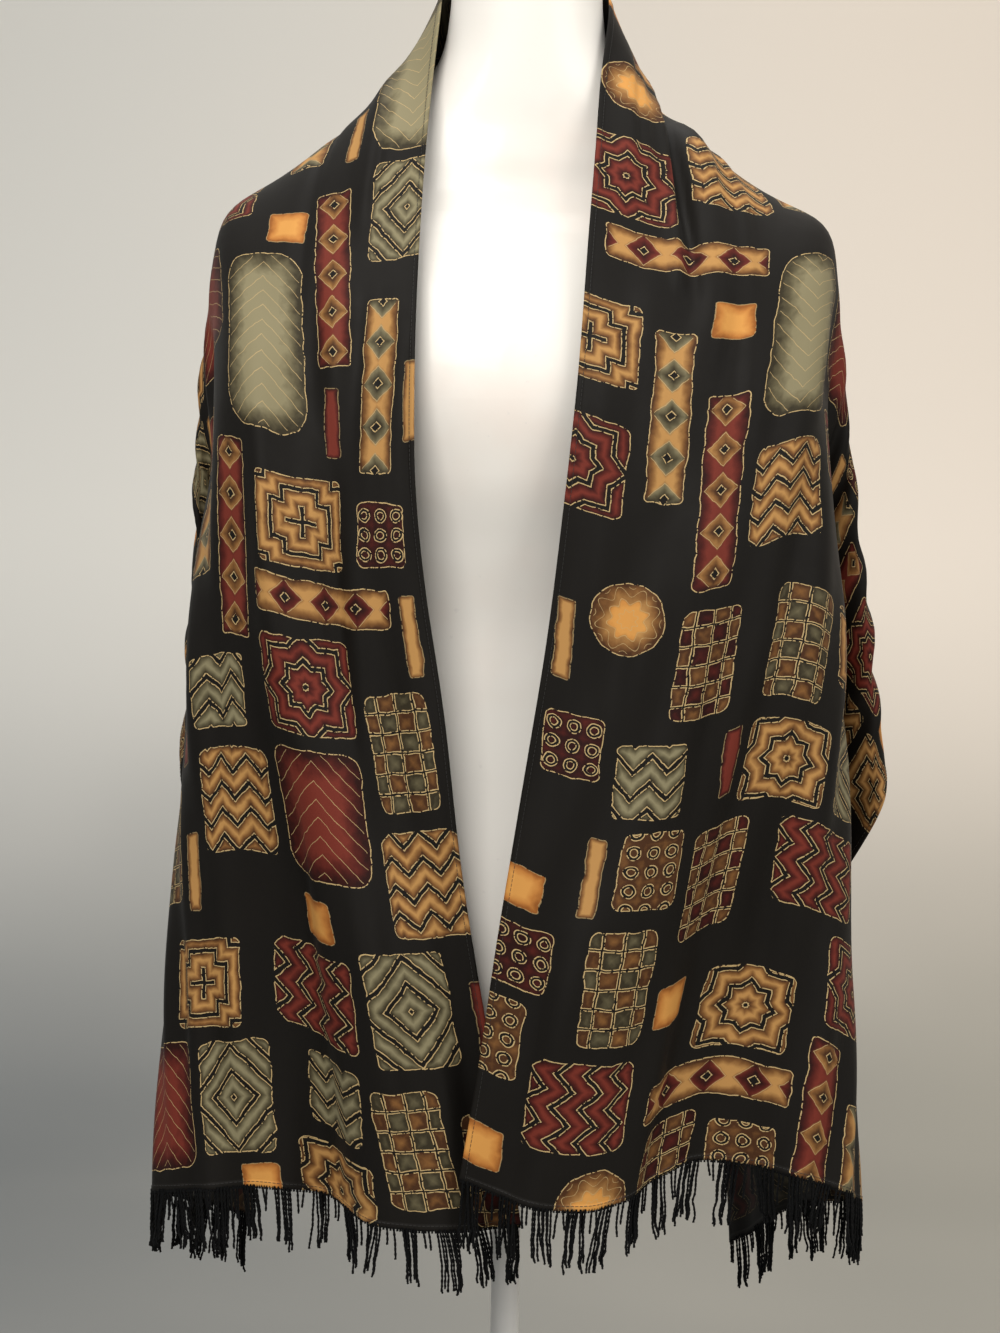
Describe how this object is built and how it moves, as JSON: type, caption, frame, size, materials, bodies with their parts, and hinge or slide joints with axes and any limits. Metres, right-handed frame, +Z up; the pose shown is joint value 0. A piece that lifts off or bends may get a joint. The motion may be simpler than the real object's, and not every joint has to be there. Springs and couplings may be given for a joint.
{
  "type": "shawl on dress form",
  "caption": "Oblong printed shawl with fringed ends, draped open over a limbless dress form that stands on a pole and a round base.",
  "frame": {"origin": "centre of the round base's underside, on the stand's axis", "axes": "+Z up along the pole; -Y is the front, where the shawl hangs open; +X is the side of the front that laps over the other"},
  "size_m": [0.5164, 0.33, 1.552],
  "materials": {
    "shawl_cloth": "soft sheen, black with a printed design",
    "fringe_yarn": "twisted black yarn",
    "form_shell": "smooth white, low gloss",
    "stand_paint": "white paint, low gloss"
  },
  "bodies": {
    "root": {"shawl_left_back": "shawl_cloth", "shawl_right_back": "shawl_cloth", "shawl_left_front": "shawl_cloth", "shawl_right_front": "shawl_cloth", "shawl_left_side": "shawl_cloth", "shawl_right_side": "shawl_cloth", "left_fringe": "fringe_yarn", "right_fringe": "fringe_yarn", "dress_form": "form_shell", "pole": "stand_paint", "pole_socket": "stand_paint", "base_plate": "stand_paint"}
  },
  "joints": []
}
